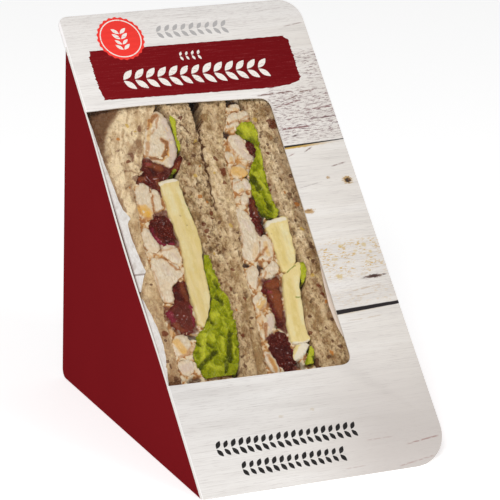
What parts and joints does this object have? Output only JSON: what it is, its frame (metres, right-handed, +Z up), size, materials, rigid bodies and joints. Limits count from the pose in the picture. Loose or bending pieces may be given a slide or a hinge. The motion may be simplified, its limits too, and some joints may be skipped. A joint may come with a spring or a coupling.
{
  "type": "chicken sandwich in a wedge pack",
  "caption": "Cut chicken, soft cheese, cranberry and lettuce sandwich on grained brown bread, two halves side by side in a wedge-shaped card pack with a film window.",
  "frame": {"origin": "middle of the bounding box on the plane that the pack stands on", "axes": "+X to the right seen from the window side, +Y from the sloping front to the upright back, +Z up"},
  "size_m": [0.0947, 0.132, 0.1316],
  "materials": {
    "card": "printed satin card, pale wood-grain front and plain maroon walls, white inside",
    "film": "clear thin film",
    "lining": "creased pale lining",
    "bread": "open brown crumb with seeds",
    "chicken": "moist roast chicken, browned edges",
    "filling": "shredded chicken in sauce",
    "cranberry": "dark glossy jelly and berries",
    "soft_cheese": "soft, faintly moist, pale rind",
    "lettuce": "wet ruffled leaf"
  },
  "bodies": {
    "root": {"bread_a_inner": "bread", "bread_a_outer": "bread", "bread_b_inner": "bread", "bread_b_outer": "bread", "brie_a": "soft_cheese", "brie_b_lower": "soft_cheese", "brie_b_rind": "soft_cheese", "brie_b_upper": "soft_cheese", "carton": "card", "chicken_a_1": "chicken", "chicken_a_2": "chicken", "chicken_a_3": "chicken", "chicken_a_4": "chicken", "chicken_a_5": "chicken", "chicken_a_6": "chicken", "chicken_a_7": "chicken", "chicken_a_8": "chicken", "chicken_b_1": "chicken", "chicken_b_10": "chicken", "chicken_b_11": "chicken", "chicken_b_12": "chicken", "chicken_b_13": "chicken", "chicken_b_14": "chicken", "chicken_b_15": "chicken", "chicken_b_16": "chicken", "chicken_b_17": "chicken", "chicken_b_2": "chicken", "chicken_b_3": "chicken", "chicken_b_4": "chicken", "chicken_b_5": "chicken", "chicken_b_6": "chicken", "chicken_b_7": "chicken", "chicken_b_8": "chicken", "chicken_b_9": "chicken", "cranberry_a_1": "cranberry", "cranberry_a_2": "cranberry", "cranberry_a_3": "cranberry", "cranberry_a_4": "cranberry", "cranberry_b_1": "cranberry", "cranberry_b_2": "cranberry", "cranberry_b_3": "cranberry", "cranberry_b_4": "cranberry", "filling_a": "filling", "filling_b": "filling", "lettuce_a": "lettuce", "lettuce_a_top": "lettuce", "lettuce_b": "lettuce", "lettuce_b_foot": "lettuce", "lettuce_b_side": "lettuce", "lining_lower": "lining", "lining_upper": "lining", "window_film": "film"}
  },
  "joints": []
}
